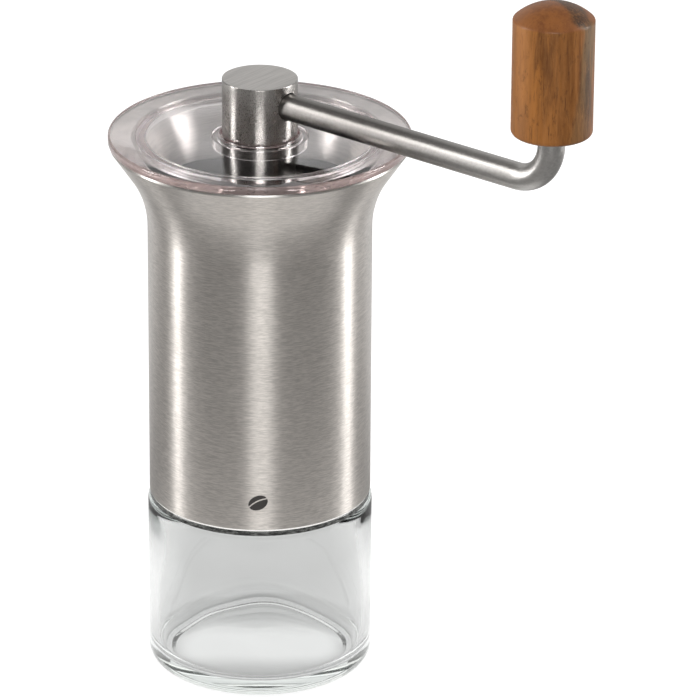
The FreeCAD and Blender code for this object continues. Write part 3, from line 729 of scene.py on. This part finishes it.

# ---- Crank rod ----------------------------------------------------------------------------------
# Round stainless bar of 8 mm, bent cold to a right angle and glass-bead blasted to a satin; its colour is
# painted darker near the hub as painted shade. Its upright end is the pin that the knob turns on.
knob_low, knob_high = reach("knob")
arm = (knob_low[0] + knob_high[0]) / 2
bend = rod_high[0] - rod_r - arm + 12.4
quarter = math.pi / 2
tip = 0.6
level_rows, bend_rows, pin_rows, tip_rows = 60, 49, 24, 6
bend_turn = np.linspace(0, quarter, bend_rows)
tip_turn = np.linspace(0.2, 1, tip_rows) * quarter
closed = 0.01


def rod_rings(x, z, lean, thick, around=96):
    """Rings of a round bar whose path lies in the plane of X and Z, each square to the path's lean.

    A point is (x, 0, z) + thick * (-sin lean cos a, sin a, cos lean cos a) for the angle a.
    """
    angle = np.arange(around) * 2 * np.pi / around
    out = np.stack([-np.sin(lean)[:, None] * np.cos(angle), 0 * lean[:, None] + np.sin(angle),
                    np.cos(lean)[:, None] * np.cos(angle)], -1)
    return np.stack([x, 0 * x, z], -1)[:, None] + thick[:, None, None] * out


# The path runs level, round the bend and up the pin. Each end closes to a point, and the pin's end
# is rounded on the way.
path_x = np.concatenate([
    [rod_low[0]], np.linspace(rod_low[0], arm - bend - 0.5, level_rows),
    arm - bend + bend * np.sin(bend_turn), np.full(pin_rows + tip_rows + 1, arm)])
path_z = np.concatenate([
    np.full(1 + level_rows, rod_z), rod_z + bend * (1 - np.cos(bend_turn)),
    np.linspace(rod_z + bend + 0.5, rod_high[2] - tip, pin_rows),
    rod_high[2] - tip + tip * np.sin(tip_turn), [rod_high[2]]])
path_lean = np.concatenate([
    np.zeros(1 + level_rows), bend_turn, np.full(pin_rows + tip_rows + 1, quarter)])
path_r = np.concatenate([
    [closed], np.full(level_rows + bend_rows + pin_rows, rod_r),
    rod_r - tip + tip * np.cos(tip_turn), [closed]])
rod_points = rod_rings(path_x, path_z, path_lean, path_r) * MM
rod = add_piece(grid_mesh("steel_rod", rod_points, False, True), "crank")
replace("crank_rod")

satin = Finish("satin_steel", Metallic=1.0)
blast = satin.noise(satin.place(), 1100, 4, 0.75)
drawn = satin.noise(satin.place((60, 1400, 1400)), 1.0, 3)
streaky = blast * 0.6 + drawn * 0.4
# Painted shade: the colour runs from a dark copy of the satin near the hub to a lit copy towards the knob.
shaded_by_hub = satin.mix(streaky, (0.085, 0.078, 0.073, 1), (0.35, 0.333, 0.316, 1))
lit_by_knob = satin.mix(streaky, (0.20, 0.19, 0.18, 1), (0.60, 0.582, 0.56, 1))
outwards = satin.between(satin.axis(satin.place(), "X"), 0.04, 0.105)
satin.set("Base Color", satin.mix(outwards, shaded_by_hub, lit_by_knob))
satin.set("Roughness", blast * 0.2 + 0.26)
satin.bump(blast, 0.000016, 0.6)
satin.give(rod)

# ---- Drive socket -------------------------------------------------------------------------------
# A black plastic plug glued into the hub, with a hexagonal pocket that drops over the shaft.
plastic.give("drive_socket")

# ---- Knob ---------------------------------------------------------------------------------------
# Turned from a blank of oiled hardwood that holds both orange heartwood and a grey-brown layer.
# The lathe leaves a low dome with a soft crease, a small round at the foot, and a satin oil.
knob_r = (knob_high[0] - knob_low[0]) / 2
dome = 4.8
crease_z = knob_high[2] - dome
dome_r = (knob_r ** 2 + dome ** 2) / (2 * dome)
dome_turn = np.linspace(0.0005, math.asin(knob_r / dome_r) * 0.93, 28)
dome_rows = np.stack([dome_r * np.sin(dome_turn), knob_high[2] - dome_r + dome_r * np.cos(dome_turn)], -1)
bush_r = reach("knob_bush")[1][0] - arm + 0.02
bore_top = rod_high[2] + 0.7
round_steps = 8
body_rows = rounded([tuple(dome_rows[-1]) + (0,), (knob_r, crease_z, 1.0), (knob_r, knob_low[2], 1.5),
                     (bush_r, knob_low[2], 0.3), (bush_r, bore_top, 0), (0.01, bore_top, 0)],
                    round_steps)[1:]
knob_outline = np.concatenate([
    dome_rows, body_rows[:round_steps + 1], upright(knob_r, crease_z - 1.5, knob_low[2] + 2, 30),
    body_rows[round_steps + 1:]])
knob = turned("wooden_knob", knob_outline, "knob", 256, (arm, 0.0))
replace("knob")

wood = Finish("oiled_hardwood", Specular_IOR_Level=0.2, Coat_Weight=0.08, Coat_Roughness=0.22)
from_top = wood.place(shift=(-arm * MM, 0.0, -knob_high[2] * MM))
east, north, height = (wood.axis(from_top, letter) for letter in "XYZ")
fibre = wood.noise(wood.place((1200, 1200, 100)), 1.0, 5, 0.7)
figure = wood.noise(wood.place((260, 260, 26)), 1.0, 5, 0.65, 0.6)
wave = wood.noise(wood.place((70, 70, 18)), 1.0, 3)
fleck = wood.noise(wood.place((800, 800, 330)), 1.0, 4, 0.7)
open_pores = wood.between(wood.noise(wood.place((1700, 1700, 130)), 1.0, 3, 0.6), 0.60, 0.70)

# Orange heartwood, and the grey layer that crosses it and turns dark where the dome cuts it.
warm_figure = wood.between(figure, 0.36, 0.64)
heartwood = wood.mix(warm_figure, (0.100, 0.033, 0.006, 1), (0.305, 0.114, 0.022, 1))
heartwood = wood.mix(wood.between(wave, 0.45, 0.7) * 0.3, heartwood, (0.34, 0.135, 0.038, 1))
grey_figure = wood.between(figure, 0.30, 0.70)
grey = wood.mix(grey_figure, (0.050, 0.028, 0.014, 1), (0.255, 0.155, 0.066, 1))
crown = wood.between(height, -0.0062, -0.0030)
grey = wood.mix(crown * 0.9, grey, (0.030, 0.016, 0.010, 1))
depth = north * 0.986 + east * 0.161 - height * 0.144 + (wave - 0.5) * 0.006 + crown * 0.0026
layer = wood.between(depth, 0.0017, 0.0036) * wood.between(depth, 0.0104, 0.0080)
layer = layer * wood.between(height, -0.050, -0.012, 0.35, 1.0)
colour = wood.mix(layer, heartwood, grey)

# A side painted paler as painted light, dark and light flecks, a band of painted shade that follows the
# figure, the pores, the fibres and the oiled dome.
slant = north * 0.64 + east * 0.77
# Painted light: the side to the camera's left is painted paler.
painted_lit_side = wood.between(slant, -0.003, -0.0105)
colour = wood.mix(painted_lit_side * 0.5, colour, (0.46, 0.195, 0.062, 1))
colour = wood.mix(wood.between(fleck, 0.54, 0.70) * 0.5, colour, (0.050, 0.018, 0.006, 1))
colour = wood.mix(wood.between(fleck, 0.42, 0.26) * 0.3, colour, (0.40, 0.18, 0.066, 1))
# Painted shade: a dark band just right of the middle, where the figure lets it through.
painted_shade_band = wood.between(slant, 0.0005, 0.0045) * wood.between(figure, 0.42, 0.62)
colour = wood.mix(painted_shade_band * 0.45, colour, (0.085, 0.036, 0.014, 1))
colour = wood.mix(open_pores * 0.6, colour, (0.030, 0.011, 0.004, 1))
colour = wood.mix(wood.between(fibre, 0.42, 0.70) * 0.35, colour, (0.40, 0.172, 0.052, 1))
dome_skin = wood.between(height, -0.0054, -0.0046) * (1.0 - layer * 0.9)
colour = wood.mix(dome_skin * 0.6, colour, (0.205, 0.070, 0.023, 1))
wood.set("Base Color", colour)
wood.set("Roughness", fibre * 0.16 + 0.36)
wood.bump(fibre * 0.5 - open_pores, 0.00006, 0.35)
wood.give(knob)

# ---- Knob bush ----------------------------------------------------------------------------------
# A moulded sleeve of natural acetal, pressed into the knob, that turns on the rod's pin.
acetal = Finish("natural_acetal", Roughness=0.4, Subsurface_Weight=0.1)
swirl = acetal.noise(acetal.place(), 300, 2)
acetal.set("Base Color", acetal.mix(swirl, (0.62, 0.60, 0.55, 1), (0.72, 0.70, 0.66, 1)))
acetal.give("knob_bush")

# ---- Floor and sky ------------------------------------------------------------------------------
# Not part of the grinder: a pale sweep and an even studio. Both give off light by the kind of ray,
# so that the glass and the steel get bright and dark streaks while floor and background stay even.
floor_half = 6.0
floor_corners = [(x * floor_half, y * floor_half, 0) for x, y in ((-1, -1), (1, -1), (1, 1), (-1, 1))]
floor_mesh = bpy.data.meshes.new("floor")
floor_mesh.from_pydata(floor_corners, [], [(0, 1, 2, 3)])
floor = bpy.data.objects.new("floor", floor_mesh)
bpy.context.scene.collection.objects.link(floor)


def rays(finish, kind):
    """Mask that is 1 for rays from the camera, through glass, or off a glossy surface, by kind."""
    return finish.node("ShaderNodeLightPath", {}, {}, "Is " + kind + " Ray")


pale = Finish("pale_floor", Roughness=0.9, Specular_IOR_Level=0.0)
seen, through, glossed = rays(pale, "Camera"), rays(pale, "Transmission"), rays(pale, "Glossy")
ground = pale.place()
turned_ground = pale.place(turn=(0, 0, -camera_azimuth))
out_squared = pale.axis(ground, "X") ** 2.0 + pale.axis(ground, "Y") ** 2.0
behind = pale.axis(turned_ground, "Y")
# Painted light: seen through the jar, the floor under it glows brighter, most in a stripe across its
# middle, as a pool of light in place of the light that the glass would bring down onto it.
below_jar = pale.between(out_squared, 0.0009, 0.0004)
light_pool_stripe = pale.between(behind, -0.018, -0.004) * pale.between(behind, 0.024, 0.005)
beside = pale.between(pale.axis(turned_ground, "X") ** 2.0, 0.0003, 0.0048)
near = pale.between(out_squared, 0.0169, 0.0064)
rear = pale.between(behind, 0.10, 0.30) * pale.between(behind, 0.34, 0.44, 1.0, 0.35)
glow = seen * 0.85 + through * (below_jar * (light_pool_stripe * 0.40 + 0.05) + beside * 0.18 + 0.305)
glow = glow + glossed * (1.0 - through) * (rear * 0.62 + near * 0.9)
pale.set("Base Color", (0.35, 0.35, 0.35, 1))
pale.set("Emission Color", glow)
pale.set("Emission Strength", 1.0)
pale.give(floor)


class Studio(Finish):
    """The world's background: the same calls as a finish, on the sky instead of a material."""

    def __init__(self, name):
        self.world = bpy.data.worlds.new(name)
        self.world.use_nodes = True
        self.tree = self.world.node_tree
        self.shader = self.tree.nodes["Background"]


studio = Studio("studio")
bpy.context.scene.world = studio.world
sky_height = studio.axis(studio.node("ShaderNodeTexCoord", {}, {}, "Generated"), "Z")
low_sky = studio.between(sky_height, 0.45, 0.15, 0.0, 0.8, "LINEAR")
high_sky = studio.between(sky_height, 0.72, 0.96, 0.14, 0.45, "LINEAR")
studio.set("Color", (1.0, 0.985, 0.965, 1))
sky_light = low_sky * rays(studio, "Transmission") + high_sky
studio.set("Strength", rays(studio, "Camera") * 0.9 + sky_light)

# ---- Lights -------------------------------------------------------------------------------------
# Two tall strips at the grinder's sides, a soft light in front and above, and a wide one behind.
# The first three don't light the jar, whose thick heel would show them as hard white marks.


def away_from(azimuth, elevation):
    """Unit vector out from the object: azimuth from the camera's side, elevation up, in radians."""
    turn = camera_azimuth + azimuth
    level = math.cos(elevation)
    return np.array([math.sin(turn) * level, -math.cos(turn) * level, math.sin(elevation)])


def panel(name, azimuth, elevation, distance, wide, tall, power):
    """Soft light aimed at the shell, azimuth degrees to the camera's right and elevation degrees up."""
    outwards = Vector(away_from(math.radians(azimuth), math.radians(elevation)))
    lamp = bpy.data.lights.new(name, "AREA")
    lamp.shape = "RECTANGLE"
    lamp.size = wide
    lamp.size_y = tall
    lamp.energy = power
    holder = bpy.data.objects.new(name, lamp)
    bpy.context.scene.collection.objects.link(holder)
    holder.location = Vector((0.0, 0.0, 0.10)) + outwards * distance
    holder.rotation_euler = outwards.to_track_quat("Z", "Y").to_euler()
    holder.visible_camera = False
    return holder


not_on_glass = bpy.data.collections.new("not_on_glass")
not_on_glass.objects.link(jar)
not_on_glass.collection_objects[0].light_linking.link_state = "EXCLUDE"
kept_off = (panel("left_strip", -88, 14, 1.1, 0.20, 1.5, 13.2),
            panel("right_strip", 98, 14, 1.1, 0.23, 1.5, 15),
            panel("front_soft", 2, 24, 1.3, 0.48, 0.7, 9.2))
for light in kept_off:
    light.light_linking.receiver_collection = not_on_glass
panel("back_sweep", 180, 26, 2.0, 3.2, 1.5, 10.5)

# ---- Camera -------------------------------------------------------------------------------------
# A long lens that looks down on the grinder from its front right, leant by a third of a degree.
aim = np.array([0.021165, 0.017539, 0.10199])
away = 1.70649
roll = math.radians(0.372)
back = away_from(0.0, math.radians(23.097))
level_right = np.array([math.cos(camera_azimuth), math.sin(camera_azimuth), 0.0])
level_up = np.cross(back, level_right)
right = level_right * math.cos(roll) + level_up * math.sin(roll)
up = level_up * math.cos(roll) - level_right * math.sin(roll)
spot = aim + back * away
camera = bpy.data.objects.new("camera", bpy.data.cameras.new("camera"))
bpy.context.scene.collection.objects.link(camera)
camera.matrix_world = Matrix([[right[k], up[k], back[k], spot[k]] for k in range(3)] + [[0, 0, 0, 1]])
camera.data.sensor_width = 36.0
camera.data.lens = 287.43
bpy.context.scene.camera = camera
bpy.context.scene.cycles.glossy_bounces = 16
bpy.context.scene.cycles.transmission_bounces = 16
bpy.context.scene.cycles.max_bounces = 24
bpy.context.scene.view_settings.view_transform = "Standard"
